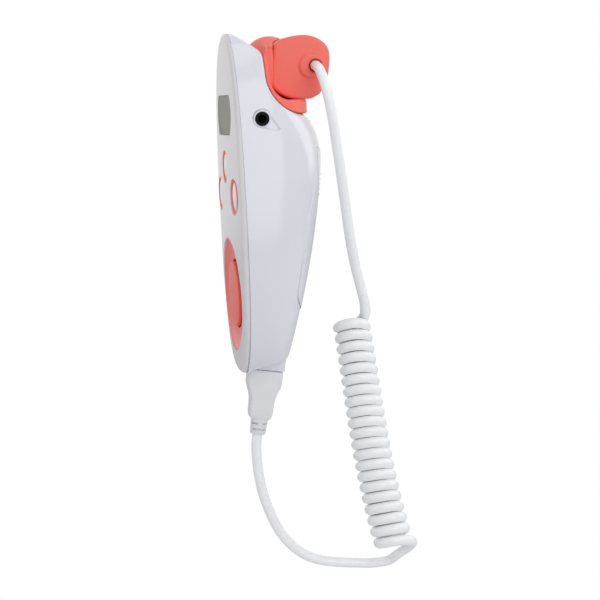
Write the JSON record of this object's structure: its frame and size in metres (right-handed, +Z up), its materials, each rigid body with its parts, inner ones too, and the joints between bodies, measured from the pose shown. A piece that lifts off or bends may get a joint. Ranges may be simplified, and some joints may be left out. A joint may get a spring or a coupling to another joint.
{
  "type": "fetal doppler monitor",
  "caption": "Handheld oval fetal doppler with a display, three keys, a dished loudspeaker, a docked probe on a curly lead, and a plug in its foot.",
  "frame": {"origin": "middle of the oval front's outline, in the plane where the front and back shells meet, which is where a hand closes round the case", "axes": "+Z up along the case, -Y out of the front with the display and keys, +X to the case's right side with the headphone jack"},
  "size_m": [0.068, 0.0793, 0.2451],
  "materials": {
    "front": "smooth, satin, warm pale grey",
    "shell": "smooth, glossy, faintly lilac white",
    "coral": "smooth satin coral",
    "key": "smooth satin white",
    "window": "clear lens with a grey olive tint",
    "display_glass": "grey olive display",
    "black_plastic": "black moulded plastic",
    "board": "green board lacquer",
    "cell_jacket": "plain grey sleeve",
    "screw_steel": "zinc plated",
    "spring_steel": "nickel plated spring steel",
    "plated_steel": "nickel plated sheet",
    "probe_face": "soft pale face",
    "crystal": "piezo ceramic",
    "cord": "smooth white cord sheath",
    "plug": "white moulding"
  },
  "bodies": {
    "case": {"front_panel": "front", "back_shell": "shell", "probe_cradle": "coral", "case_screws": "screw_steel", "lcd_window": "window", "lcd_module": "display_glass", "key_bezel_top": "coral", "key_bezel_left": "coral", "key_bezel_right": "coral", "speaker_dish": "coral", "speaker_cap": "coral", "loudspeaker": "black_plastic", "main_board": "board", "key_switches": "black_plastic", "battery_tray": "shell", "battery_cells": "cell_jacket", "battery_springs": "spring_steel", "battery_contacts": "spring_steel", "headphone_jack": "black_plastic", "jack_ring": "shell", "usb_socket": "plated_steel", "socket_collar": "shell", "cord_coil": "cord"},
    "top_key": {"key_top": "key"},
    "left_key": {"key_left": "key"},
    "right_key": {"key_right": "key"},
    "door": {"battery_door": "shell"},
    "probe": {"probe_grip": "coral", "probe_head": "coral", "probe_face": "probe_face", "probe_crystals": "crystal", "probe_cord_bush": "coral", "cord_upper": "cord"},
    "plug": {"plug_shell": "plated_steel", "plug_overmould": "plug", "plug_strain_relief": "cord", "cord_lower": "cord"}
  },
  "joints": [
    {"name": "top_key_press", "type": "slide", "parent": "case", "child": "top_key", "axis": [0, 1, 0], "range_m": [0, 0.0007], "stiffness_N_per_m": 600, "springref_m": -0.0003},
    {"name": "left_key_press", "type": "slide", "parent": "case", "child": "left_key", "axis": [0, 1, 0], "range_m": [0, 0.0007], "stiffness_N_per_m": 600, "springref_m": -0.0003},
    {"name": "right_key_press", "type": "slide", "parent": "case", "child": "right_key", "axis": [0, 1, 0], "range_m": [0, 0.0007], "stiffness_N_per_m": 600, "springref_m": -0.0003},
    {"name": "door_slide", "type": "slide", "parent": "case", "child": "door", "axis": [0, 0.7071, -0.7071], "range_m": [0, 0.007]},
    {"name": "probe_undock", "type": "slide", "parent": "case", "child": "probe", "axis": [0, 1, 0], "range_m": [0, 0.03]},
    {"name": "plug_pull", "type": "slide", "parent": "case", "child": "plug", "axis": [0, -0.1736, -0.9848], "range_m": [0, 0.014]}
  ]
}
